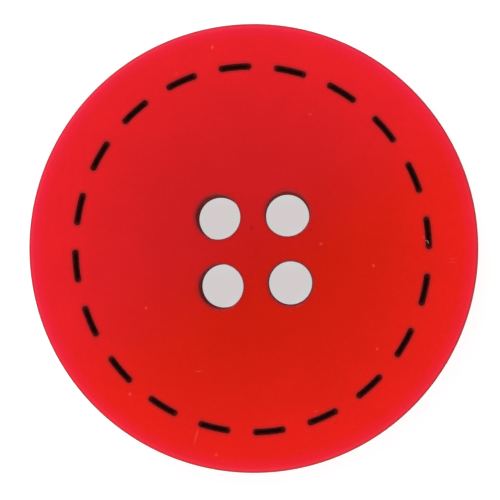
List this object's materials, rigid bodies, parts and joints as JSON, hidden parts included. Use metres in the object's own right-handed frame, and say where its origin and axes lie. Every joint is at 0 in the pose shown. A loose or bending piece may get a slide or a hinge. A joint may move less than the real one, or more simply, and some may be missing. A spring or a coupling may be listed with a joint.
{
  "type": "sew-through button",
  "caption": "Round red resin button with a shallow dished face, sewing holes through its middle and a ring of inlaid black strokes near the rim that imitates hand stitching.",
  "frame": {"origin": "middle of the flat back, on the surface that the button lies on", "axes": "+Z out of the dished face, +X and +Y along the sides of the square of sewing holes"},
  "size_m": [0.028, 0.028, 0.0032],
  "materials": {
    "red_resin": "satin",
    "black_enamel": "satin"
  },
  "bodies": {
    "root": {"button": "red_resin", "stitch_marks": "black_enamel"}
  },
  "joints": []
}
